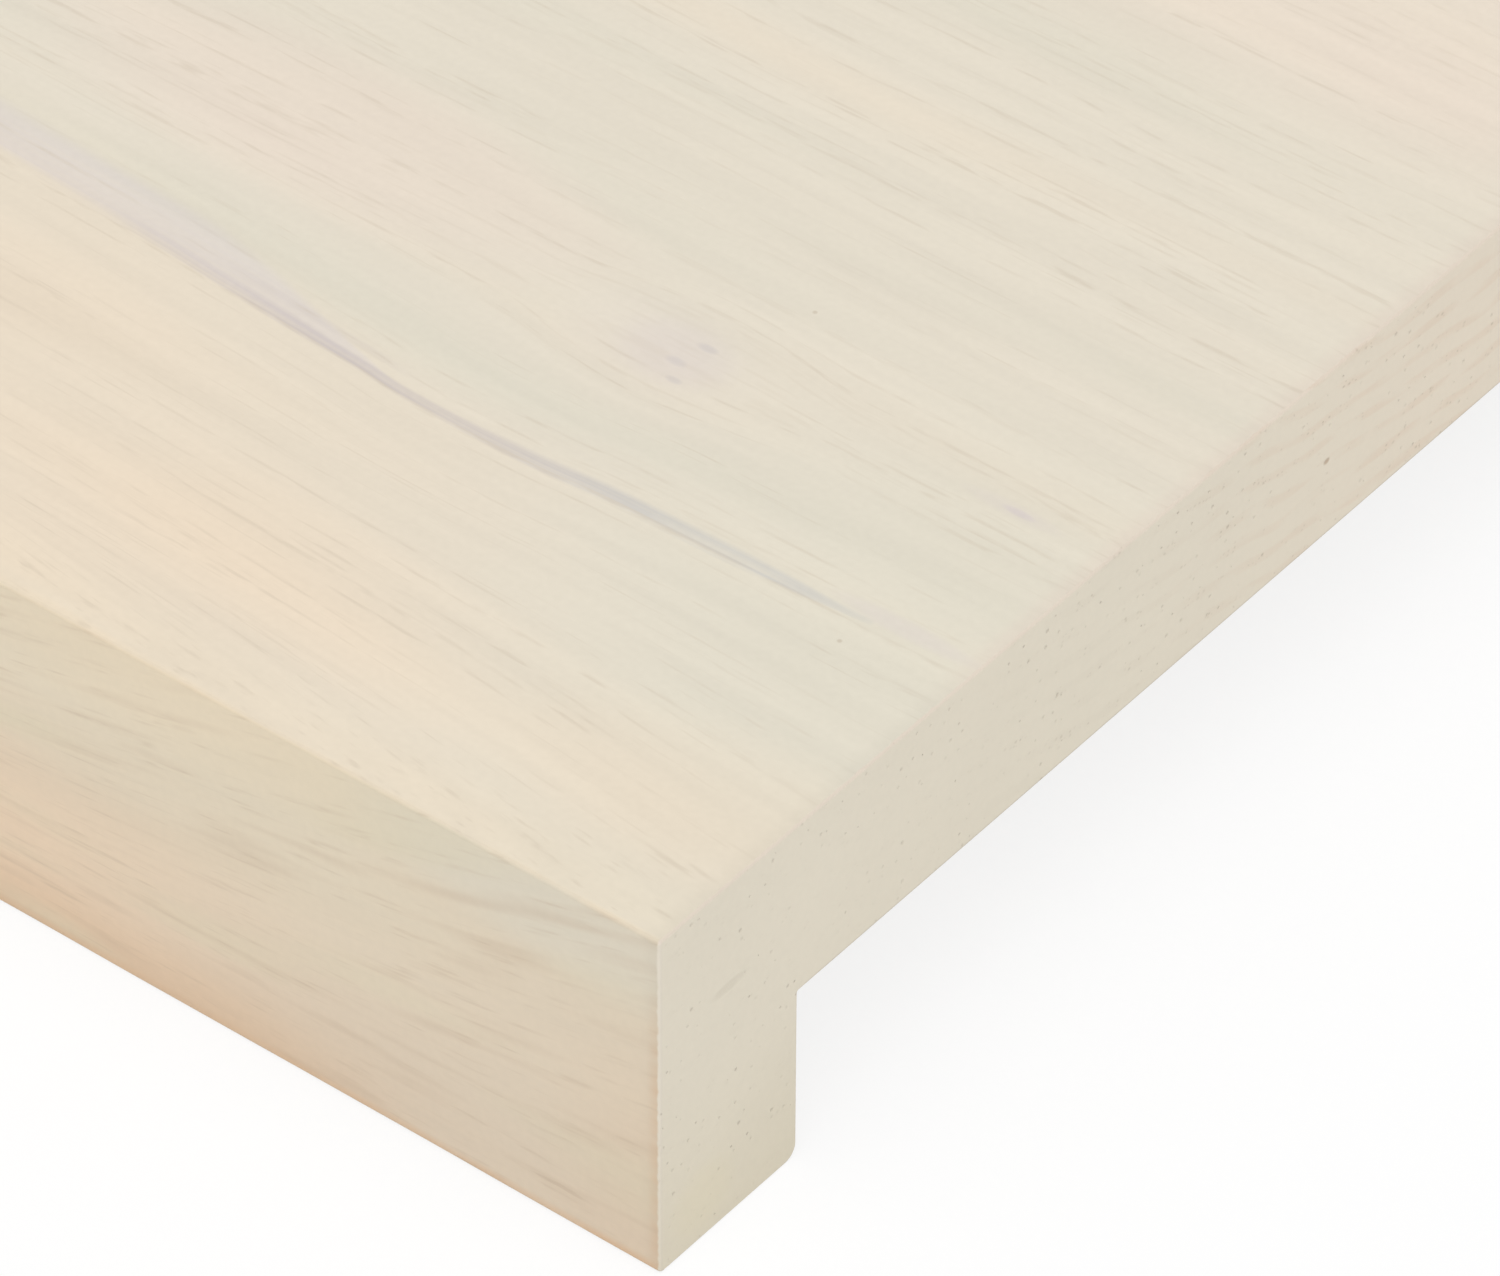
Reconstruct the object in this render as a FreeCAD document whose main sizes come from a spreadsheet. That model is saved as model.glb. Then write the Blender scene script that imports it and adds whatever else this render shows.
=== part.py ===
import FreeCAD, Part
import os
import Sketcher

# Window sill board: one piece of oak, a flat board with a dropped nose along its front edge.
# X runs along the board, the front faces -Y, Z is up.
# The origin is below the middle of the board, level with the underside of the nose.

SIZES = [
    ("board_length", 1000, "sold length, end to end"),
    ("board_depth", 200, "front face to back edge"),
    ("board_thick", 20, "top face to the underside that beds on the wall"),
    ("nose_height", 40, "top face to the underside of the nose"),
    ("nose_thick", 19.5, "front face to the inner face of the nose"),
    ("nose_round", 1.5, "radius along the lower inner edge of the nose"),
    ("arris_round", 0.5, "radius that eases every other outer edge"),
]

doc = FreeCAD.newDocument("window_sill_board")

sheet = doc.addObject("Spreadsheet::Sheet", "Sizes")
for row, (alias, value, meaning) in enumerate(SIZES, start=1):
    sheet.set(f"A{row}", alias)
    sheet.set(f"B{row}", str(value))
    sheet.setAlias(f"B{row}", alias)
    sheet.set(f"C{row}", meaning)
doc.recompute()

body = doc.addObject("PartDesign::Body", "SillBoard")
body.Label = "sill_board"
end_plane = next(plane for plane in body.Origin.OriginFeatures if plane.Role == "YZ_Plane")

# Section, seen along the board: sketch x is the depth (Y) and sketch y the height (Z).
section = body.newObject("Sketcher::SketchObject", "Section")
section.AttachmentSupport = [(end_plane, "")]
section.MapMode = "FlatFace"

half_depth = sheet.board_depth / 2
underside = sheet.nose_height - sheet.board_thick
inner_face = sheet.nose_thick - half_depth
corners = [
    (-half_depth, 0),
    (inner_face, 0),
    (inner_face, underside),
    (half_depth, underside),
    (half_depth, sheet.nose_height),
    (-half_depth, sheet.nose_height),
]
points = [FreeCAD.Vector(depth, height, 0) for depth, height in corners]
NOSE_BOTTOM, NOSE_INNER, UNDERSIDE, BACK, TOP, FRONT = [
    section.addGeometry(Part.LineSegment(start, end), False)
    for start, end in zip(points, points[1:] + points[:1])
]
START, END = range(1, 3)  # a line's two ends, as a constraint counts them
X_AXIS, Y_AXIS = range(-1, -3, -1)  # the sketch's own axes

outline = [NOSE_BOTTOM, NOSE_INNER, UNDERSIDE, BACK, TOP, FRONT]
for line, following in zip(outline, outline[1:] + outline[:1]):
    section.addConstraint(Sketcher.Constraint("Coincident", line, END, following, START))
for line in (NOSE_BOTTOM, UNDERSIDE):
    section.addConstraint(Sketcher.Constraint("Horizontal", line))
for line in (NOSE_INNER, BACK, FRONT):
    section.addConstraint(Sketcher.Constraint("Vertical", line))
section.addConstraint(Sketcher.Constraint("PointOnObject", NOSE_BOTTOM, START, X_AXIS))
# Its two ends stand level, one each side of the middle, so the top is level too.
section.addConstraint(Sketcher.Constraint("Symmetric", TOP, START, TOP, END, Y_AXIS))

for line, alias in (
    (TOP, "board_depth"),
    (FRONT, "nose_height"),
    (BACK, "board_thick"),
    (NOSE_BOTTOM, "nose_thick"),
):
    length = section.Geometry[line].length()
    index = section.addConstraint(Sketcher.Constraint("Distance", line, length))
    section.renameConstraint(index, alias)
    section.setExpression(f"Constraints.{alias}", f"Sizes.{alias}")

# The board is the section run along X, half to each side of the middle.
board = body.newObject("PartDesign::Pad", "Board")
board.Profile = section
board.SideType = "Symmetric"
board.setExpression("Length", "Sizes.board_length")
doc.recompute()


UP = FreeCAD.Vector(0, 0, 1)
BACKWARD = FreeCAD.Vector(0, 1, 0)
ALONG = FreeCAD.Vector(1, 0, 0)


# The edges round the outermost face in each direction.
def edges_round(feature, *directions):
    names = []
    for direction in directions:
        face = max(feature.Shape.Faces, key=lambda each: each.CenterOfMass.dot(direction))
        for number, edge in enumerate(feature.Shape.Edges, start=1):
            if any(edge.isSame(rim) for rim in face.Edges) and f"Edge{number}" not in names:
                names.append(f"Edge{number}")
    return names


# The nose is rounded along its lower inner edge, which meets the wall first, and not across its ends.
eased = edges_round(board, -BACKWARD, ALONG, -ALONG)
nose_edges = [name for name in edges_round(board, -UP) if name not in eased]
nose_round = body.newObject("PartDesign::Fillet", "NoseRound")
nose_round.Base = (board, nose_edges)
nose_round.setExpression("Radius", "Sizes.nose_round")
doc.recompute()

# Every other outer edge is eased. The inner corner, where the wall fits, stays sharp.
arris_round = body.newObject("PartDesign::Fillet", "ArrisRound")
arris_round.Base = (nose_round, edges_round(nose_round, UP, BACKWARD, -BACKWARD, ALONG, -ALONG))
arris_round.setExpression("Radius", "Sizes.arris_round")
body.Tip = arris_round
doc.recompute()

for item in doc.Objects:
    if "Invalid" in item.State or "Error" in item.State:
        raise RuntimeError(f"{item.Name} could not be built: {item.State}")
if body.Shape.isNull() or not body.Shape.isValid() or len(body.Shape.Solids) != 1:
    raise RuntimeError(f"{body.Label} is not one sound solid")

os.makedirs("parts", exist_ok=True)
body.Shape.exportStep(f"parts/{body.Label}.step")
box = body.Shape.optimalBoundingBox(True, False)
print(f"{body.Label}: {box.XLength:.2f} x {box.YLength:.2f} x {box.ZLength:.2f} mm")
print(f"{body.Shape.Volume / 1000:.1f} cm3, {len(body.Shape.Faces)} faces")
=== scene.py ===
import math
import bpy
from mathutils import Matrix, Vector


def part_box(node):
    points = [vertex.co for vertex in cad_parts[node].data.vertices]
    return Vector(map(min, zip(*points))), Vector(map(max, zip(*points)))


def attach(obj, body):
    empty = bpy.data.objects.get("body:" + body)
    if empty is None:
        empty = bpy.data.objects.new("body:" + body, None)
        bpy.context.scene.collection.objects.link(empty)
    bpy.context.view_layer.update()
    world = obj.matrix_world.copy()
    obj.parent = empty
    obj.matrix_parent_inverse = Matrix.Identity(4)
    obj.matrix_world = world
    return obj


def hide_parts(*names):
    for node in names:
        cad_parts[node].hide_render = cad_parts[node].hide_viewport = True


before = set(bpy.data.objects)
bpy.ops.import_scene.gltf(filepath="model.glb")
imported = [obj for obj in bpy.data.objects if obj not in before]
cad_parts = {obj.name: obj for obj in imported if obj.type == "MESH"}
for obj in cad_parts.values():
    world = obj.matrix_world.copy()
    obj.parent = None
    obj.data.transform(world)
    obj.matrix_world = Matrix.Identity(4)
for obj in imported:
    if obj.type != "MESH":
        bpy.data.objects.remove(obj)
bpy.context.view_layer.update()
from types import SimpleNamespace
import bpy
import numpy as np
from mathutils import Matrix, Vector

# Window sill board in white-oiled oak. Metres, X along the board, front at -Y, Z up.
# Marks in the wood are placed in millimetres from the corner where top, front and right end meet:
# along is 0 there and falls to the left, inward grows from the front, down grows from the top.

boardLow, boardHigh = (np.array(corner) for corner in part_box("sill_board"))

board = {
    "thick": 0.020,          # top to underside
    "noseThick": 0.0195,     # front to inner face
    # round of each long edge: nose front, nose inside, inner corner, back below, back above, top front
    "rounds": (0.00055, 0.0014, 0.00015, 0.0005, 0.0005, 0.00036),
    "endRound": 0.00028,     # round both ends
    "handWork": 0.22,        # share by which sanding by hand varies a long edge
    "seed": 11,              # of the first edge, with one more for each next edge
    "waves": 6,              # in the line that varies it
    "longestWave": 0.16,
    "waveShortens": 0.62,    # from one wave to the next
    "waveWeakens": 0.75,
    "stations": 420,         # rings along the length
    "arcSteps": 6,           # faces round each long edge
    "endSteps": 5,           # faces round each end edge
    "faceSteps": (3, 3, 14, 3, 16, 5),   # strips on nose bottom, inner face, underside, back, top, front
    "mapShares": (0.8, 0.8, 0.5, 1.0, 1.0, 1.2),   # how closely the baked map covers each of those
    "edgeMapShare": 1.5,     # the same for the long edges
    "mapMargin": 0.004,
    "mapStrip": 0.82,        # height of the long strip in the map
    "mapEnd": (0.48, 0.15),  # size of each end in it
    "mapEndsAt": ((0.01, 0.84), (0.51, 0.84)),
}


# A slow wavering line: a sum of sines, each shorter and weaker than the one before, with seeded
# phases, between -1 and 1.
def waver(along, seed):
    draw = np.random.default_rng(seed)
    wave = np.arange(board["waves"])
    size = board["waveWeakens"] ** wave
    length = board["longestWave"] * board["waveShortens"] ** wave
    height = np.sin(2 * np.pi * (along[:, None] / length + draw.random(len(wave))))
    return height @ size / size.sum()


# The section has six corners. Each is a quarter circle between the normals of the two faces that meet
# there, swung outward at an outer corner and inward at the inner one, with a radius that wavers along
# the board. Each face is a straight run from one quarter circle to the next. Gives places as
# profile point by station, the normal at each profile point, and the map's share of each step.
def sectionLines(along):
    front, back = boardLow[1], boardHigh[1]
    bottom, top = boardLow[2], boardHigh[2]
    inner, under = front + board["noseThick"], top - board["thick"]
    corners = np.array([(front, bottom), (inner, bottom), (inner, under),
                        (back, under), (back, top), (front, top)])
    facing = np.array([(0, -1), (1, 0), (0, -1), (1, 0), (0, 1), (-1, 0)])   # of the face after each corner
    running = np.stack([-facing[:, 1], facing[:, 0]], axis=1)
    swing = np.linspace(0, math.pi / 2, board["arcSteps"] + 1)[:, None]
    sides = len(corners)
    arcs, turns = [], []
    for k in range(sides):
        before, after = facing[k - 1], facing[k]
        outer = before[0] * after[1] - before[1] * after[0]   # 1, or -1 at the inner corner
        radius = board["rounds"][k] * (1 + board["handWork"] * waver(along, board["seed"] + k))[:, None]
        centre = corners[k] + radius * (running[k] - running[k - 1])
        turns.append(np.cos(swing) * before + np.sin(swing) * after)
        arcs.append(centre + outer * radius * turns[k][:, None, :])
    places, normals, shares = [], [], []
    for k in range(sides):
        steps = board["faceSteps"][k]
        way = (np.arange(1, steps) / steps)[:, None, None]
        face = arcs[k][-1] * (1 - way) + arcs[(k + 1) % sides][0] * way
        places += [arcs[k], face]
        normals += [turns[k], np.repeat(facing[k][None], steps - 1, axis=0)]
        shares += [board["edgeMapShare"]] * board["arcSteps"] + [board["mapShares"][k]] * steps
    return np.concatenate(places), np.concatenate(normals), np.array(shares)


# The board is the section carried along X. At each end the rings follow a quarter circle in X while the
# section shrinks along its normals by the same quarter circle, which eases the edges of the end.
def boardMesh():
    low, high = boardLow[0], boardHigh[0]
    ease = board["endRound"]
    turn = np.linspace(0, math.pi / 2, board["endSteps"] + 1)[1:]
    lean = np.concatenate([-turn[::-1], np.zeros(board["stations"]), turn])
    straight = np.linspace(low + ease, high - ease, board["stations"])
    along = np.concatenate([np.full(len(turn), low + ease), straight, np.full(len(turn), high - ease)])
    along += ease * np.sin(lean)
    outline, normals, shares = sectionLines(along)
    outline = outline - normals[:, None, :] * (ease * (1 - np.cos(lean)))[:, None]
    count, rings = outline.shape[:2]
    stations = np.repeat(along[:, None, None], count, axis=1)
    points = np.concatenate([stations, outline.transpose(1, 0, 2)], axis=2).reshape(-1, 3)

    ring, spot = np.meshgrid(np.arange(rings - 1), np.arange(count), indexing="ij")
    following = (spot + 1) % count
    loops = [(ring, spot), (ring, following), (ring + 1, following), (ring + 1, spot)]
    quads = np.stack([r * count + s for r, s in loops], axis=-1).reshape(-1, 4)
    rightEnd = (rings - 1) * count + np.arange(count)
    leftEnd = np.arange(count)[::-1]
    mesh = bpy.data.meshes.new("oak_sill_board")
    mesh.from_pydata(points, [], quads.tolist() + [rightEnd.tolist(), leftEnd.tolist()], shade_flat=False)

    # a loop's normal is the section's own, leaning to X round the ends, so flat faces shade flat
    tilt = lean[:, None, None]
    endward = np.repeat(np.sin(tilt), count, axis=1)
    leaning = np.concatenate([endward, np.cos(tilt) * normals], axis=2)
    around = np.stack([leaning[r, s] for r, s in loops], axis=2).reshape(-1, 3)
    endwise = np.repeat([[1.0, 0, 0], [-1.0, 0, 0]], count, axis=0)
    mesh.normals_split_custom_set(np.concatenate([around, endwise]))

    # in the map one strip runs round the section, with the two ends above it
    margin = board["mapMargin"]
    step = np.linalg.norm(np.roll(outline, -1, axis=0) - outline, axis=2).mean(axis=1) * shares
    girth = margin + board["mapStrip"] * np.concatenate([[0], np.cumsum(step)]) / step.sum()
    length = margin + (1 - 2 * margin) * (along - low) / (high - low)
    across = [(ring, spot), (ring, spot + 1), (ring + 1, spot + 1), (ring + 1, spot)]
    strip = np.stack([np.stack([length[r], girth[s]], axis=-1) for r, s in across], axis=2).reshape(-1, 2)
    shape = (points - boardLow)[:, 1:] / (boardHigh - boardLow)[1:] * board["mapEnd"]
    ends = [shape[end] + place for end, place in zip((rightEnd, leftEnd), board["mapEndsAt"])]
    bakeMap = mesh.uv_layers.new(name="OFBake")
    bakeMap.uv.foreach_set("vector", np.concatenate([strip, *ends]).astype(np.float32).ravel())
    mesh.validate()
    return mesh


oakBoard = bpy.data.objects.new("oak_sill_board", boardMesh())
bpy.context.scene.collection.objects.link(oakBoard)
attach(oakBoard, "root")
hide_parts("sill_board")
print("board:", len(oakBoard.data.vertices), "points,", len(oakBoard.data.polygons), "faces")


# A shader socket in sums: each operator adds a Math node, and node() adds any other node.
class Wire:
    def __init__(self, tree, socket=None):
        self.tree, self.socket = tree, socket

    def node(self, kind, settings, sockets, out=0):
        made = self.tree.nodes.new(kind)
        for name, value in settings.items():
            setattr(made, name, value)
        for name, value in sockets.items():
            if isinstance(value, Wire):
                self.tree.links.new(value.socket, made.inputs[name])
            else:
                made.inputs[name].default_value = value
        return Wire(self.tree, made.outputs[out] if len(made.outputs) else None)

    # another output of the same node
    def other(self, out):
        return Wire(self.tree, self.socket.node.outputs[out])

    def maths(self, operation, first, second=0.0, third=0.0):
        return self.node("ShaderNodeMath", {"operation": operation}, {0: first, 1: second, 2: third})

    def vector(self, operation, *values, out=0):
        return self.node("ShaderNodeVectorMath", {"operation": operation}, dict(enumerate(values)), out)

    def __add__(self, value):
        return self.maths("ADD", self, value)

    def __sub__(self, value):
        return self.maths("SUBTRACT", self, value)

    def __rsub__(self, value):
        return self.maths("SUBTRACT", value, self)

    def __mul__(self, value):
        return self.maths("MULTIPLY", self, value)

    def __truediv__(self, value):
        return self.maths("DIVIDE", self, value)

    def __rtruediv__(self, value):
        return self.maths("DIVIDE", value, self)

    __radd__ = __add__
    __rmul__ = __mul__

    # 0 at low, most at high, eased between
    def ramp(self, low, high, most=1.0):
        return self.node("ShaderNodeMapRange", {"interpolation_type": "SMOOTHSTEP"},
                         {"Value": self, "From Min": low, "From Max": high, "To Max": most})

    # of a squared distance in half widths: 1 at the middle, two thirds at 1 and nothing beyond 1.6
    def bell(self):
        return self.ramp(2.6, 0.0)

    # 1 at the middle, falling away to both sides as a bell
    def hump(self, middle, half):
        apart = self.maths("MULTIPLY_ADD", self, 1 / half, -middle / half)
        return (apart * apart).bell()

    # a smooth line through the given points, going straight on beyond them
    def through(self, points):
        first, last = points[0][0], points[-1][0]
        low, high = min(y for x, y in points), max(y for x, y in points)
        share = self.maths("MULTIPLY_ADD", self, 1 / (last - first), -first / (last - first))
        curve = self.node("ShaderNodeFloatCurve", {}, {"Value": share})
        mapping = curve.socket.node.mapping
        line = mapping.curves[0]
        for x, y in points[1:-1]:
            line.points.new((x - first) / (last - first), (y - low) / (high - low))
        line.points[0].location.y = (points[0][1] - low) / (high - low)
        line.points[-1].location.y = (points[-1][1] - low) / (high - low)
        mapping.update()
        return self.maths("MULTIPLY_ADD", curve, high - low, low)

    def part(self, axis):
        return self.node("ShaderNodeSeparateXYZ", {}, {0: self}, axis)

    def joined(self, second, third):
        return self.node("ShaderNodeCombineXYZ", {}, {0: self, 1: second, 2: third})

    # a vector in units of the given lengths, moved on
    def inUnits(self, lengths, move):
        return self.vector("MULTIPLY_ADD", self, [1 / length for length in lengths], move)

    # 1 at a place, falling away as a bell over the given half lengths
    def spot(self, centre, halves):
        apart = self.inUnits(halves, [-c / half for c, half in zip(centre, halves)])
        return self.vector("DOT_PRODUCT", apart, apart, out="Value").bell()

    # distance from a place in the section
    def distance(self, place):
        return self.vector("DISTANCE", self, (*place, 0), out="Value")

    # cloudy noise about 0, within about a third each way; fine adds a second, smaller cloud
    def clouds(self, lengths, seed, fine=False):
        spread = 0.87 if fine else 0.64   # so that both kinds reach as far
        elsewhere = (seed, seed * 1.7, seed * 0.6)
        noise = self.node("ShaderNodeTexNoise", {}, {
            "Vector": self.inUnits(lengths, elsewhere),
            "Scale": 1.0, "Detail": 1.0 if fine else 0.0, "Roughness": 0.55})
        return self.maths("MULTIPLY_ADD", noise, spread, -spread / 2)

    # a colour that goes from one to another by this amount
    def between(self, first, second):
        return self.node("ShaderNodeMix", {"data_type": "RGBA"}, {0: self, 6: first, 7: second}, 2)

    # a colour moved towards another by an amount
    def toward(self, colour, amount):
        return amount.between(self, colour)

    # a surface that goes from one to another by this amount
    def mixed(self, first, second):
        return self.node("ShaderNodeMixShader", {}, {0: self, 1: first, 2: second})


# The start of an empty node tree, for a material or the world.
def blankTree(owner):
    owner.use_nodes = True
    owner.node_tree.nodes.clear()
    return Wire(owner.node_tree)


# A sum of shares, each an amount of a socket, on top of a base.
def total(base, *shares):
    for amount, wire in shares:
        base = wire.maths("MULTIPLY_ADD", wire, amount, base)
    return base


# A colour out of 255 as the shader takes it, by the screen's own curve.
def linear(red, green, blue):
    return [((c / 255 + 0.055) / 1.055) ** 2.4 for c in (red, green, blue)] + [1.0]


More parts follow.
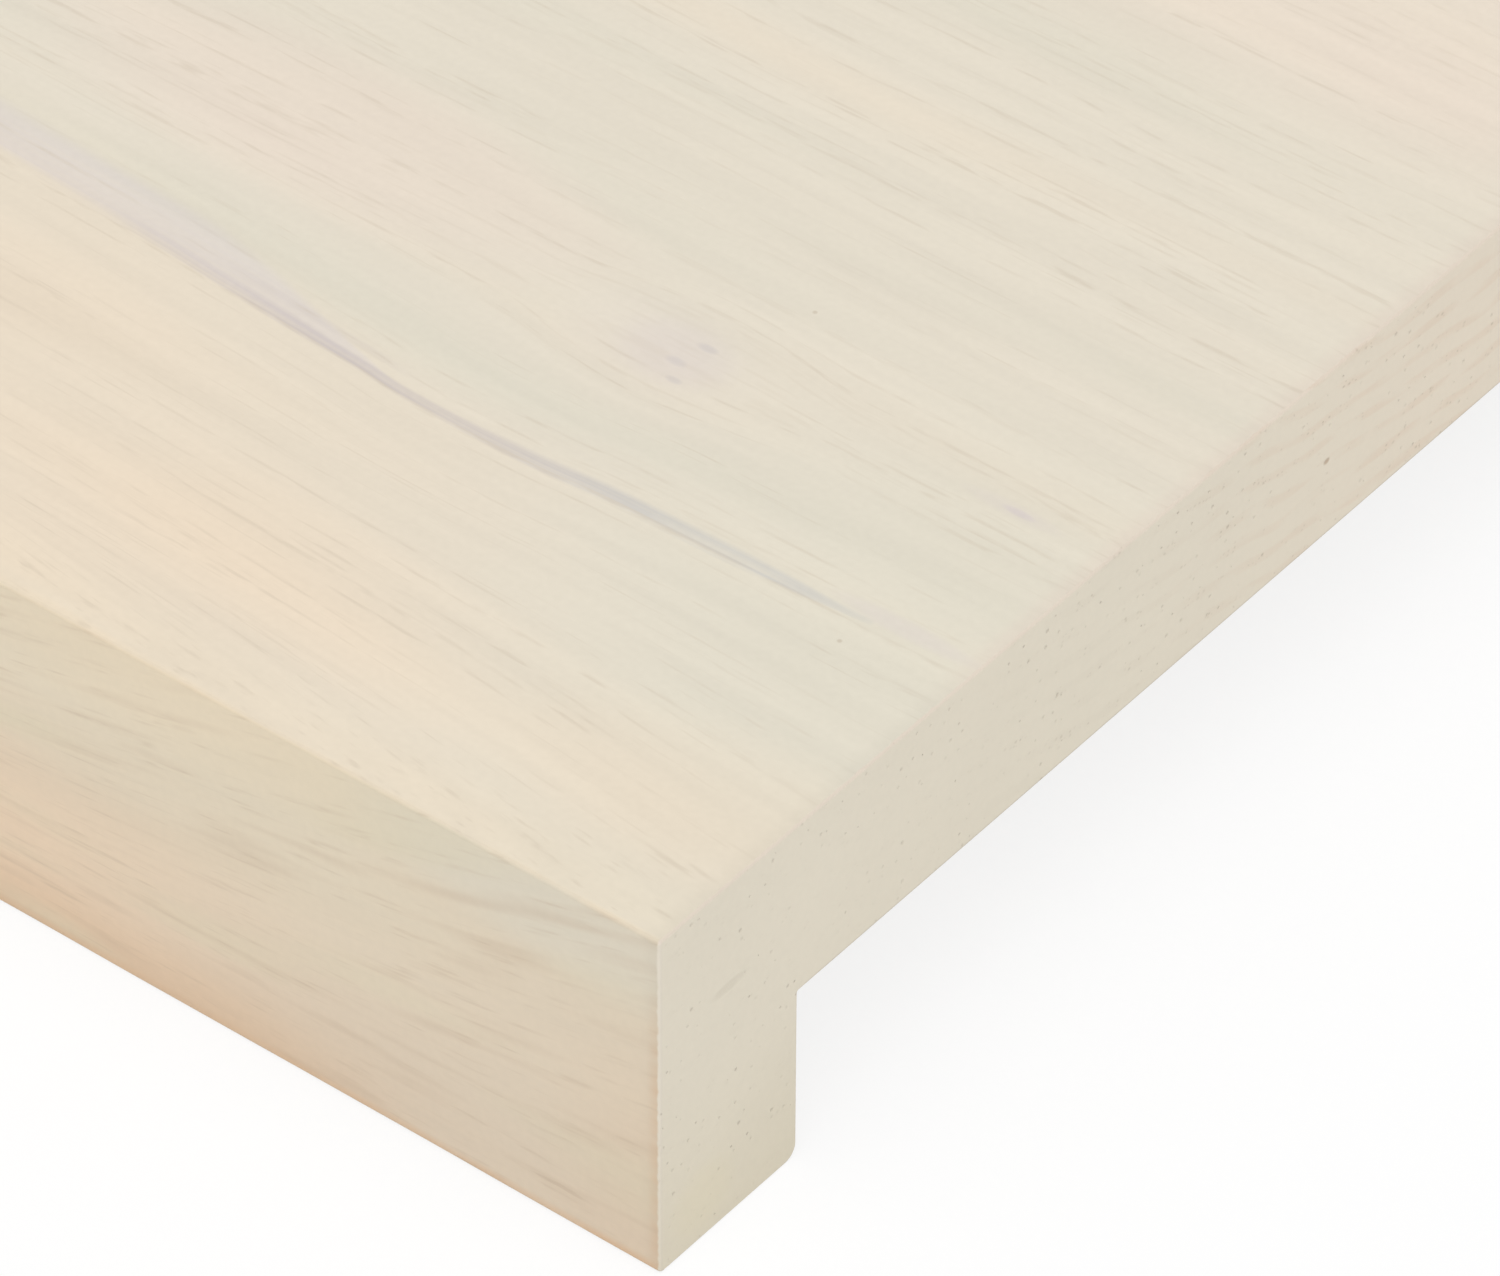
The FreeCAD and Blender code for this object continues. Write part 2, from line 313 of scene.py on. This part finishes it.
# Lengths and places are in millimetres. A pair or three that a ramp takes is where it starts, where it
# is full, and its most if that is not 1. A pair that a hump takes is its middle and half width.
oak = {
    "roughness": 0.55,
    "endRoughness": 0.65,
    "relief": 0.00003,           # metres, depth of the uneven ground
    # colours as they look on the lit board
    "tones": {
        "cream": linear(229.3, 220.6, 203.4),
        "peach": linear(237, 218.5, 194.5),
        "rose": linear(235, 220, 204),
        "greyGreen": linear(226, 220, 202.5),
        "pore": linear(200, 186, 166),
        "mauve": linear(188, 178, 184),
        "blueGrey": linear(184, 187, 193),
        "lilac": linear(206, 193, 203),
        "mist": linear(213, 206, 217),
        "arris": linear(241, 220, 188),
        "front": linear(233, 220.5, 196),
        "frontLow": linear(226, 209, 187),
        "frontLeft": linear(241, 213, 182),
        "frontRight": linear(228, 212, 189),
        "frontGreen": linear(226, 216, 188),
        "frontEdge": linear(222, 190, 156),
        "frontPore": linear(194, 172, 148),
        "end": linear(230.5, 222, 203.5),
        "endLow": linear(223, 214, 193),
        "endWarm": linear(231, 205, 181),
        "endBack": linear(236, 222, 203),
        "endPore": linear(180, 168, 148),
    },
    # noises: length along, inward and down, seed, and True where it is a fine one
    "clouds": {
        "slow": ((170, 55, 55), 3.1),
        "quick": ((36, 13, 13), 8.4),
        "grit": ((0.8, 0.7, 0.7), 6.6),
        "ground": ((10, 0.6, 0.6), 3.7),
        "bands": ((110, 9, 9), 8.8),
        "hair": ((34, 2.2, 2.2), 7.7, True),
        "breaks": ((4.2, 0.65, 0.65), 3.9, True),
        "strands": ((22, 0.42, 0.42), 5.2),
        "tint": ((34, 7, 7), 2.4),
        "rough": ((5, 1.2, 1.2), 1.1),
        "ringDrift": ((420, 300, 300), 6.3),
        "ringSway": ((90, 9, 9), 2.2),
        "rowBreaks": ((5, 1.5, 1), 1.8),         # along and across the rows
        "beads": ((1.5, 1.5, 1.5), 3.3),
        "pitPatches": ((9, 6, 6), 4.4),
        "endPatches": ((30, 12, 12), 8.1),
    },
    # pores: spacing both ways, seed, least and most radius in spacings
    "tubes": {
        "wide": ((1.6, 1.6), 0, 0.18, 0.38),
        "narrow": ((0.95, 0.95), 9, 0.18, 0.4),
        "inRows": ((0.85, 0.7), 5, 0.16, 0.44),
        "pits": ((2.3, 2.3), 2, 0.04, 0.14),
    },
    "fibres": {
        "sway": (7, 1.6),            # inward, by the slow and the quick noise
        "lift": (-6, -1.8),          # down, by the same
        "slant": (44, 16, 0.075),    # inward, where they start to slant, by this much for each step along
        "dip": (16, 2, 0.26),        # inward, where they start to dip, the same
        "dipDepth": (44, 6),         # down, for the dip
        "slantEnds": -180,           # along, where both stop
        "streakPull": (43.5, 12),    # inward, those that follow the streak
        "knotReach": (12, 7, 10),    # half lengths, those that part round the knot
        "knotPull": 0.34,
    },
    "edges": {
        "front": (0.25, 0.05),            # inward, where the front takes over from the top
        "end": (0.32, 0.12),              # off the end, where the end takes over
        "endGrit": 0.35,                  # by which that is ragged
        "nearEnd": (2.5, 0),              # off the end, the rim of the long faces: rosier, and darkened with painted shade
        "eased": (0.5, 0.2),              # inward and down, the eased front edge, darkened there with painted shade
        "ridge": (0.8, 0.1),              # inward, its warm ridge
        "ridgeWidens": (-40, -100, 1.6),  # along
        "ridgeDown": (0.6, 0.1),
        "poreBreaks": (-0.1, 0.14),       # of the breaks' noise, where a pore is open
        "deepestPore": 0.8,
    },
    "top": {
        "warmBands": (0.0, 0.3, 0.35),    # of the bands' noise
        "greenBands": (0.0, -0.3),
        # broad tints: along, inward, half length, half width, share
        "tints": {
            "greyGreen": ((-8, 30, 26, 34, 1.0),),
            "peach": ((-128, 22, 72, 22, 0.85), (-46, 9, 36, 12, 0.42), (-4, 16, 19, 8, 0.36)),
            "rose": ((-95, 68, 26, 8, 1.0), (-25, 150, 90, 18, 1.0)),
        },
        "tintDepth": 9,
        "farPatches": (-0.05, 0.25),      # of the slow noise
        "farWarmth": (-150, -260, 0.5),   # along
        "roseRim": (36, 50, 0.5),         # inward
        "goldenNose": (9, 2, 0.2),        # inward
        "pores": 0.4,
        "knotAt": (-47.5, 62.5, 0),
        # small marks, columns as for the tints
        "eyes": ((-46.3, 64.8, 0.9, 0.4, 0.3), (-47.5, 61.6, 0.9, 0.45, 0.26),
                 (-46.0, 59.4, 0.7, 0.35, 0.26)),
        "flecks": ((-48.3, 62.5, 4.6, 3.3, 0.17), (-50, 62.5, 8.0, 5.0, 0.07),
                   (-10.2, 64.3, 1.4, 0.36, 0.3), (-10.8, 64.3, 4.2, 0.75, 0.12),
                   (-8.5, 45.5, 6.0, 0.9, 0.2)),
        "specks": ((-41.9, 75.0, 0.2, 0.2, 0.6), (-12.1, 40.6, 0.2, 0.2, 0.6)),
        "markDepth": 8,
        "marksFrom": (37, 39),            # inward, the strip that has them
        "marksTo": (80, 78),
        "marksLeft": (-215, -210),        # along
        "marksDown": (3, 1),
    },
    # the grey streak on the top
    "streak": {
        # along, inward, half width, share
        "line": ((-125, 47.0, 0.4, 0.0), (-106, 45.9, 0.7, 0.07), (-96, 45.4, 0.68, 0.26),
                 (-88, 44.7, 0.66, 0.34), (-80, 44.1, 0.66, 0.4), (-70, 43.3, 0.54, 0.42),
                 (-60, 42.6, 0.56, 0.41), (-50, 42.75, 0.72, 0.41), (-40, 43.4, 0.8, 0.41),
                 (-30, 43.65, 0.8, 0.42), (-22, 43.9, 0.68, 0.4), (-16, 44.1, 0.42, 0.3),
                 (-11, 44.3, 0.25, 0.0)),
        "rest": 43.9,                # inward, where the fibres would run without it
        "ragged": 0.4,               # by its strands
        "blueTip": (-60, -30),       # along, from mauve to blue-grey
        "partAcross": (-0.1, 0.28),  # a light line parts it near the tip
        "partAlong": (-28, 6),
        "partShare": 0.5,
        "sideAcross": (2.1, 0.35),   # a faint strand beside it
        "sideAlong": (-77, 9),
        "sideShare": 0.13,
        "hazeWidth": 0.2,            # a haze on its far side
        "hazeWidens": (-60, -95, 5.0),
        "hazeFoot": (-0.5, 0.6),
        "hazeRim": (1.15, 0.75),     # in widths
        "hazeStarts": (-60, -74, 0.27),
        "hazeEnds": (-210, -125),
    },
    "front": {
        "fall": (0, 40),             # down, to its lower colour
        "warmAlong": (-20, -90),
        "warmDown": (4, 34, 0.7),
        "warmLeast": 0.25,
        "warmNear": (-340, -140, 0.75),   # along, even here
        "warmFar": (-140, -340, 0.9),     # and in patches farther left
        "dullRight": (-50, -10, 0.6),     # along
        # patches: tone, along, down, half length, half height, share
        "patches": (("arris", -56, 3, 20, 5, 0.35), ("greyGreen", -10, 3, 18, 5, 0.6),
                    ("front", -52, 12, 26, 7, 0.4)),
        "patchDepth": 9,
        "redRightDown": (6, 30),
        "redRightAlong": (-16, 0, 0.24),
        # painted shade: darker orange low on the front, farther left
        "redFootShadeDown": (31, 39),
        "redFootShadeAlong": (-22, -50, 0.52),
        "greenTint": (0.0, 0.25, 0.6),    # of the tint's noise
        "redTint": (0.0, -0.3, 0.09),
        "redCornerAlong": (-1.6, -0.3),   # the rubbed upright edge
        "redCornerDown": (2, 18),
        "redCornerShare": 0.4,
        "redEdgeShade": (38.4, 39.6),          # down, painted shade in darker orange along the lower edge
        "redEdgeShadeShare": 0.85,
        "pores": 0.36,
        "lines": (0.0, 0.3, 0.38),        # of the hair's noise
        "footShade": (30, 38),            # down
    },
    "end": {
        "noseCentre": (5, 20),            # inward and down, where the rings in the nose turn round
        "boardCentre": (200, -750),       # the same for the rings of the rest of the board
        "boardRadius": 800,
        "noseToBoard": (14, 36),          # inward, where the one kind passes into the other
        "ringWidth": 2.8,
        "ringSway": 0.8,                  # in rings
        "ringDrift": -40,
        "early": (0.5, 0.9),              # of a ring, where its pores are
        "rowSlant": (0.985, 0.17),        # cosine and sine
        "rowBreaks": (-0.14, 0.12),       # of the noise of that name
        "fewRows": 0.3,                   # share of them that shows in the nose
        "moreRows": (40, 64, 0.7),        # inward
        "beads": (-0.06, 0.14),           # the same
        "pitPatches": (-0.1, 0.1),        # the same
        "dentAt": (0, 9.8, 12.2),
        "dentSize": (2, 2.0, 0.45),
        "brownPitAt": (0, 97.8, 10.8),
        "brownPitSize": (2, 0.36, 0.24),
        "brownPitShare": 0.9,
        "greenAt": (0, 6, 35),            # a greener patch low on the nose
        "greenSize": (9, 3.4, 3),
        "greenShare": 0.4,
        "fall": (16, 42),                 # down, to its lower colour
        "back": (60, 130, 0.6),           # inward
        "topRim": (0.35, 0.1, 0.7),       # down
        "frontRim": (0.6, 0.2, 0.08),     # inward
        "warmRows": (60, 110, 0.27),      # inward
        "underRimShadeDown": (19.5, 19.95),    # painted shade: the end's lower edge below the board, darkened where it faces down
        "underRimShadeIn": (19, 22, 0.6),
        "topShade": (0.3, 0.08),          # down
    },
}


# One of the oak's noises, in a place or on the fibres.
def noise(wire, name):
    return wire.clouds(*oak["clouds"][name])


# Where a point is: in millimetres from the corner, and on the fibres. These run straight along the
# board, swayed by slow noise, slanting and dipping into the nose and led round the streak and the knot.
def woodPlaces(start):
    fibres, edges, streak = oak["fibres"], oak["edges"], oak["streak"]
    perMetre = 1000   # millimetres
    metres = start.node("ShaderNodeTexCoord", {}, {}, "Object")
    corner = (-perMetre * boardHigh[0], -perMetre * boardLow[1], perMetre * boardHigh[2])
    place = metres.vector("MULTIPLY_ADD", metres, (perMetre, perMetre, -perMetre), corner)
    along = place.part("X")
    inward, down = along.other("Y"), along.other("Z")
    slow, quick, grit = noise(place, "slow"), noise(place, "quick"), noise(place, "grit")

    bend = along.through([(x, y - streak["rest"]) for x, y, half, share in streak["line"]])
    steps = start.maths("MAXIMUM", along, fibres["slantEnds"])
    knotAt, pull = oak["top"]["knotAt"], fibres["knotPull"]
    knotSwell = place.spot(knotAt, fibres["knotReach"])
    fibreIn = total(inward, (fibres["sway"][0], slow), (fibres["sway"][1], quick),
                    (steps, inward.ramp(*fibres["slant"])),
                    (bend, -1 * inward.hump(*fibres["streakPull"])),
                    (knotSwell, total(pull * knotAt[1], (-pull, inward))))
    dip = inward.ramp(*fibres["dip"]) * down.ramp(*fibres["dipDepth"])
    fibreDown = total(down, (fibres["lift"][0], slow), (fibres["lift"][1], quick), (steps, dip))

    halfLength = perMetre * (boardHigh[0] - boardLow[0]) / 2
    offEnd = halfLength - start.maths("ABSOLUTE", along + halfLength)
    return SimpleNamespace(
        place=place, along=along, inward=inward, down=down, slow=slow, quick=quick, grit=grit,
        fibreIn=fibreIn, fibreDown=fibreDown, bend=bend,
        fibres=along.joined(fibreIn, fibreDown), section=fibreIn.joined(fibreDown, 0.0),
        onFront=inward.ramp(*edges["front"]), nearEnd=offEnd.ramp(*edges["nearEnd"]),
        onEnd=total(offEnd, (-edges["endGrit"], grit)).ramp(*edges["end"]))


# Open pores, as tubes along the fibres: a section falls into cells, each with a disc of its own radius
# and strength. The faces cut the tubes lengthwise and the ends cut them across.
def tubes(section, name):
    spacing, seed, least, most = oak["tubes"][name]
    weakest = 0.35
    cells = section.node("ShaderNodeTexVoronoi", {"voronoi_dimensions": "2D"}, {
        "Vector": section.inUnits((*spacing, 1), (seed, seed, 0)), "Scale": 1.0})
    chance = cells.other("Color").part("X")
    disc = (cells / total(least, (most - least, chance))).ramp(1, 0)
    return disc * total(weakest, (1 - weakest, chance.other("Y")))


# Marks on the top: each a bell that fades with depth, times its share.
def marks(wood, rows, depth):
    return total(0.0, *((share, wood.place.spot((x, y, 0), (halfLong, halfWide, depth)))
                        for x, y, halfLong, halfWide, share in rows))


# A face of the wood: its colour in its fine shade, over an uneven ground.
def face(wood, colour, shade, roughness, sunk=0.0):
    toned = colour.node("ShaderNodeVectorMath", {"operation": "SCALE"}, {0: colour, "Scale": shade})
    height = total(sunk, (1, noise(wood.place, "ground")))
    normal = colour.node("ShaderNodeBump", {}, {"Height": height, "Distance": oak["relief"]})
    return colour.node("ShaderNodeBsdfPrincipled", {}, {
        "Base Color": toned, "Roughness": roughness, "Normal": normal})


# What the long faces share: bands and fine lines along the fibres, pores, the warm front edge, and painted
# shade on the eased front edge and near the ends.
def longGrain(wood):
    edges = oak["edges"]
    wood.bands, wood.hair = noise(wood.fibres, "bands"), noise(wood.fibres, "hair")
    cut = total(tubes(wood.section, "wide"), (0.8, tubes(wood.section, "narrow")))
    cut = cut * total(1.0, (2.0, wood.grit), (1.2, wood.bands))
    broken = noise(wood.fibres, "breaks").ramp(*edges["poreBreaks"])
    wood.pores = cut.maths("MINIMUM", cut, edges["deepestPore"]) * broken
    wood.sheen = total(oak["roughness"], (0.1, wood.pores), (0.16, wood.hair))

    # painted shade: the eased front edge, which catches more light, and the rim near the ends are darkened
    eased = wood.inward.ramp(*edges["eased"]) * wood.down.ramp(*edges["eased"])
    wood.shade = total(1.0, (0.1, wood.bands), (0.1, wood.hair), (0.06, wood.grit),
                       (-0.05, wood.nearEnd), (-0.08, eased))
    ridgeStart, ridgeFull = edges["ridge"]
    ridge = wood.inward.ramp(wood.along.ramp(*edges["ridgeWidens"]) + ridgeStart, ridgeFull)
    ridge = ridge * wood.down.ramp(*edges["ridgeDown"])
    wood.ridge = ridge * total(0.35, (1.4, wood.quick), (0.8, wood.hair))


# The streak's share and its haze's: a bell across a line of changing width, broken into strands.
def greyStreak(wood):
    streak = oak["streak"]
    strands = noise(wood.fibres, "strands")
    off = wood.inward - streak["rest"] - wood.bend
    halfWidth = wood.along.through([(x, half) for x, y, half, share in streak["line"]])
    strength = wood.along.through([(x, share) for x, y, half, share in streak["line"]])
    across = total(off, (streak["ragged"], strands)) / halfWidth
    core = (across * across).bell() * strength * total(0.95, (2.2, strands))
    part = -streak["partShare"] * wood.along.hump(*streak["partAlong"])
    core = core * total(1.0, (off.hump(*streak["partAcross"]), part))
    side = streak["sideShare"] * wood.along.hump(*streak["sideAlong"])
    core = total(core, (off.hump(*streak["sideAcross"]), side))

    width = wood.along.ramp(*streak["hazeWidens"]) + streak["hazeWidth"]
    haze = off.ramp(*streak["hazeFoot"]) * (off / width).ramp(*streak["hazeRim"])
    haze = haze * wood.along.ramp(*streak["hazeStarts"]) * wood.along.ramp(*streak["hazeEnds"])
    return core, haze * total(1.0, (0.8, strands))


# The top: cream, with broad patches that are warmer or greener. Only the strip that has the streak,
# the knot and the specks works these out.
def topFace(wood):
    top, tones = oak["top"], oak["tones"]
    ground = wood.bands.ramp(*top["warmBands"]).between(tones["cream"], tones["peach"])
    ground = ground.toward(tones["greyGreen"], wood.bands.ramp(*top["greenBands"]))
    uneven = total(0.72, (1.2, wood.quick))
    for name, rows in top["tints"].items():
        ground = ground.toward(tones[name], marks(wood, rows, top["tintDepth"]) * uneven)
    far = wood.slow.ramp(*top["farPatches"]) * wood.along.ramp(*top["farWarmth"])
    ground = ground.toward(tones["peach"], far)
    ground = ground.toward(tones["rose"], wood.nearEnd * wood.inward.ramp(*top["roseRim"]))
    ground = ground.toward(tones["arris"], wood.ridge + wood.inward.ramp(*top["goldenNose"]))
    pores = top["pores"] * wood.pores
    plainTop = face(wood, ground.toward(tones["pore"], pores), wood.shade, wood.sheen)

    core, haze = greyStreak(wood)
    grey = wood.along.ramp(*oak["streak"]["blueTip"]).between(tones["mauve"], tones["blueGrey"])
    eyes, flecks, specks = (marks(wood, top[name], top["markDepth"])
                            for name in ("eyes", "flecks", "specks"))
    colour = ground.toward(tones["mist"], haze)
    colour = colour.toward(tones["lilac"], flecks)
    colour = colour.toward(grey, core + eyes)
    colour = colour.toward(tones["pore"], specks + pores)
    markedTop = face(wood, colour, wood.shade, wood.sheen)
    strip = wood.inward.ramp(*top["marksFrom"]) * wood.inward.ramp(*top["marksTo"])
    strip = strip * wood.along.ramp(*top["marksLeft"]) * wood.down.ramp(*top["marksDown"])
    return strip.mixed(plainTop, markedTop)


# The front: warmer to the left and along its lower edge, where the darker orange is painted shade, with a
# rubbed upright edge and darker lines.
def frontFace(wood):
    front, tones = oak["front"], oak["tones"]
    along, down = wood.along, wood.down
    tint, rough = noise(wood.fibres, "tint"), noise(wood.place, "rough")
    colour = down.ramp(*front["fall"]).between(tones["front"], tones["frontLow"])
    warm = total(along.ramp(*front["warmNear"]) + front["warmLeast"],
                 (wood.slow, along.ramp(*front["warmFar"])))
    warm = along.ramp(*front["warmAlong"]) * down.ramp(*front["warmDown"]) * warm
    colour = colour.toward(tones["frontLeft"], warm)
    colour = colour.toward(tones["frontRight"], along.ramp(*front["dullRight"]))
    for name, x, z, halfLong, halfHigh, share in front["patches"]:
        patch = wood.place.spot((x, 0, z), (halfLong, front["patchDepth"], halfHigh))
        colour = colour.toward(tones[name], share * patch)
    redRight = down.ramp(*front["redRightDown"]) * along.ramp(*front["redRightAlong"])
    # painted shade: darker orange low on the front
    redFootShade = down.ramp(*front["redFootShadeDown"]) * along.ramp(*front["redFootShadeAlong"])
    colour = colour.toward(tones["frontEdge"], redRight + redFootShade)
    colour = colour.toward(tones["frontGreen"], tint.ramp(*front["greenTint"]))
    colour = colour.toward(tones["frontEdge"], tint.ramp(*front["redTint"]))
    redCorner = along.ramp(*front["redCornerAlong"]) * down.ramp(*front["redCornerDown"])
    colour = colour.toward(tones["frontEdge"], redCorner * (rough + front["redCornerShare"]))
    # painted shade: darker orange along the lower edge, where it turns down from the light
    redEdgeShade = down.ramp(*front["redEdgeShade"])
    colour = colour.toward(tones["frontEdge"], redEdgeShade * (rough + front["redEdgeShadeShare"]))
    colour = colour.toward(tones["arris"], wood.ridge)
    lines = front["pores"] * wood.pores + wood.hair.ramp(*front["lines"])
    colour = colour.toward(tones["frontPore"], lines)
    return face(wood, colour, total(wood.shade, (-0.03, down.ramp(*front["footShade"]))), wood.sheen)


# The ends' growth rings, as a distance from one centre in the nose that passes into the distance from a
# far one above the board. Rows of pores stand where a ring begins, and gaps break them up.
def poreRows(wood, slanted):
    end = oak["end"]
    noseRings = wood.section.distance(end["noseCentre"])
    boardRings = total(end["boardRadius"], (-1, wood.section.distance(end["boardCentre"])),
                       (end["ringDrift"], noise(wood.place, "ringDrift")))
    ring = total(noseRings, (boardRings - noseRings, wood.fibreIn.ramp(*end["noseToBoard"])))
    phase = total(end["ringSway"] * noise(wood.fibres, "ringSway"), (1 / end["ringWidth"], ring))
    early = total(0.5, (0.5, phase.maths("COSINE", phase * (2 * math.pi))))
    rows = early.ramp(*end["early"]) * noise(slanted, "rowBreaks").ramp(*end["rowBreaks"])
    return rows * (wood.inward.ramp(*end["moreRows"]) + end["fewRows"])


# The ends: pores in rows, scattered pits, a dent and a brown pit, with painted shade along the top and
# lower edges.
def endFace(wood):
    end, tones = oak["end"], oak["tones"]
    inward, down = wood.inward, wood.down
    cosine, sine = end["rowSlant"]
    slanted = (wood.fibreIn * cosine + wood.fibreDown * sine).joined(
        wood.fibreDown * cosine - wood.fibreIn * sine, 0.0)
    rows = poreRows(wood, slanted)
    openPores = tubes(slanted, "inRows") * noise(wood.place, "beads").ramp(*end["beads"]) * rows
    pits = tubes(inward.joined(down, 0.0), "pits")
    pits = pits * noise(wood.place, "pitPatches").ramp(*end["pitPatches"])
    dent = wood.place.spot(end["dentAt"], end["dentSize"])
    brownPit = wood.place.spot(end["brownPitAt"], end["brownPitSize"])
    green = wood.place.spot(end["greenAt"], end["greenSize"])

    colour = down.ramp(*end["fall"]).between(tones["end"], tones["endLow"])
    colour = colour.toward(tones["endBack"], inward.ramp(*end["back"]))
    colour = colour.toward(tones["rose"], down.ramp(*end["topRim"]))
    colour = colour.toward(tones["lilac"], inward.ramp(*end["frontRim"]))
    colour = colour.toward(tones["frontGreen"], end["greenShare"] * green)
    colour = colour.toward(tones["endWarm"], rows * inward.ramp(*end["warmRows"]))
    # painted shade along the end's lower edge below the board
    underRimShade = down.ramp(*end["underRimShadeDown"]) * inward.ramp(*end["underRimShadeIn"])
    colour = colour.toward(tones["endPore"], underRimShade)
    colour = colour.toward(tones["frontPore"], end["brownPitShare"] * brownPit)
    # the dent's share here is painted shade in its hollow; its bump is in sunk below
    dark = total(0.0, (0.66, openPores), (0.045, rows), (0.44, pits), (0.16, dent))
    colour = colour.toward(tones["endPore"], dark)
    shade = total(1.0, (0.04, wood.grit), (0.05, noise(wood.place, "endPatches")),
                  (-0.12, down.ramp(*end["topShade"])))
    sunk = total(0.0, (-4.0, pits), (-1.5, openPores), (-2.0, dent), (-3.0, brownPit))
    return face(wood, colour, shade, total(oak["endRoughness"], (0.1, openPores)), sunk)


def oakMaterial():
    material = bpy.data.materials.new("white_oiled_oak")
    start = blankTree(material)
    wood = woodPlaces(start)
    longGrain(wood)
    longFaces = wood.onFront.mixed(topFace(wood), frontFace(wood))
    allFaces = wood.onEnd.mixed(longFaces, endFace(wood))
    start.node("ShaderNodeOutputMaterial", {}, {"Surface": allFaces})
    return material


oakBoard.data.materials.append(oakMaterial())
print("oak finished")

stage = {
    "floorReach": 60.0,
    "floorGap": 0.00005,      # below the board
    "floorColour": (0.80, 0.80, 0.80, 1.0),   # as it lights the board
    "floorSeen": (0.97, 0.97, 0.97, 1.0),     # as the camera sees it
    "floorLift": 0.80,        # share of that which is plain white, so the shadow stays light
    "white": (1.0, 1.0, 1.0, 1.0),
    "worldLight": 0.60,
    "sunStrength": 1.50,
    "sunFrom": (0.17, -0.17, 0.40),
    "sunAngle": 70,           # degrees, so the shadow is soft
}


# The floor is a pale plane that keeps the board's shadow, lifted to white for the camera.
def makeFloor():
    corners = stage["floorReach"] * np.array([(-1, -1), (1, -1), (1, 1), (-1, 1)])
    height = boardLow[2] - stage["floorGap"]
    mesh = bpy.data.meshes.new("floor")
    mesh.from_pydata([(x, y, height) for x, y in corners], [], [(0, 1, 2, 3)])
    floor = bpy.data.objects.new("floor", mesh)
    bpy.context.scene.collection.objects.link(floor)
    material = bpy.data.materials.new("pale_floor")
    start = blankTree(material)
    path = start.node("ShaderNodeLightPath", {}, {}, "Is Camera Ray")
    mirrored = path.maths("MAXIMUM", path.other("Is Glossy Ray"), path.other("Is Transmission Ray"))
    seen = path.maths("MAXIMUM", path, mirrored)
    plain = start.node("ShaderNodeBsdfDiffuse", {}, {"Color": stage["floorColour"]})
    pale = start.node("ShaderNodeBsdfDiffuse", {}, {"Color": stage["floorSeen"]})
    white = start.node("ShaderNodeEmission", {}, {"Color": stage["white"], "Strength": 1.0})
    lifted = start.node("ShaderNodeMixShader", {}, {0: stage["floorLift"], 1: pale, 2: white})
    start.node("ShaderNodeOutputMaterial", {}, {"Surface": seen.mixed(plain, lifted)})
    mesh.materials.append(material)


def makeLight():
    world = bpy.data.worlds.new("studio")
    bpy.context.scene.world = world
    start = blankTree(world)
    path = start.node("ShaderNodeLightPath", {}, {}, "Is Camera Ray")
    light = start.node("ShaderNodeBackground", {}, {
        "Color": stage["white"], "Strength": stage["worldLight"]})
    white = start.node("ShaderNodeBackground", {}, {"Color": stage["white"], "Strength": 1.0})
    start.node("ShaderNodeOutputWorld", {}, {"Surface": path.mixed(light, white)})
    sun = bpy.data.lights.new("soft_sun", "SUN")
    sun.energy = stage["sunStrength"]
    sun.angle = math.radians(stage["sunAngle"])
    lamp = bpy.data.objects.new("soft_sun", sun)
    lamp.rotation_mode = "QUATERNION"
    lamp.rotation_quaternion = Vector(stage["sunFrom"]).to_track_quat("Z", "Y")
    bpy.context.scene.collection.objects.link(lamp)


makeFloor()
makeLight()
print("floor and light set")

shot = {
    "frame": (1500, 1276),          # photograph, pixels
    "cornerAt": (659.04, 943.72),   # where the corner of top, front and end falls in it
    "focalPixels": 11000,
    "distance": 0.94475,            # along the view to that corner
    "azimuth": 38.219,
    "elevation": 41.468,
    "roll": 0.300,
    "sensor": 36,                   # millimetres
    "clip": (0.01, 200),
}


# The camera stands back from the corner along the view, moved aside so that the corner falls on its
# place in the photograph.
def makeCamera():
    azimuth, elevation, roll = (math.radians(shot[key]) for key in ("azimuth", "elevation", "roll"))
    back = Vector((math.sin(azimuth) * math.cos(elevation),
                   -math.cos(azimuth) * math.cos(elevation), math.sin(elevation)))
    right = (-back).cross(Vector((0, 0, 1))).normalized()
    up = right.cross(-back)
    right, up = (math.cos(roll) * right + math.sin(roll) * up,
                 math.cos(roll) * up - math.sin(roll) * right)
    wide, high = shot["frame"]
    aside = shot["distance"] * (shot["cornerAt"][0] - wide / 2) / shot["focalPixels"]
    below = shot["distance"] * (shot["cornerAt"][1] - high / 2) / shot["focalPixels"]
    corner = Vector((boardHigh[0], boardLow[1], boardHigh[2]))
    eye = corner - aside * right + below * up + shot["distance"] * back
    lens = bpy.data.cameras.new("camera")
    lens.sensor_fit = "HORIZONTAL"
    lens.sensor_width = shot["sensor"]
    lens.lens = shot["sensor"] * shot["focalPixels"] / wide
    lens.clip_start, lens.clip_end = shot["clip"]
    camera = bpy.data.objects.new("camera", lens)
    camera.matrix_world = Matrix((
        (right.x, up.x, back.x, eye.x), (right.y, up.y, back.y, eye.y),
        (right.z, up.z, back.z, eye.z), (0, 0, 0, 1)))
    bpy.context.scene.collection.objects.link(camera)
    bpy.context.scene.camera = camera


makeCamera()
bpy.context.scene.view_settings.view_transform = "Standard"
print("camera set")
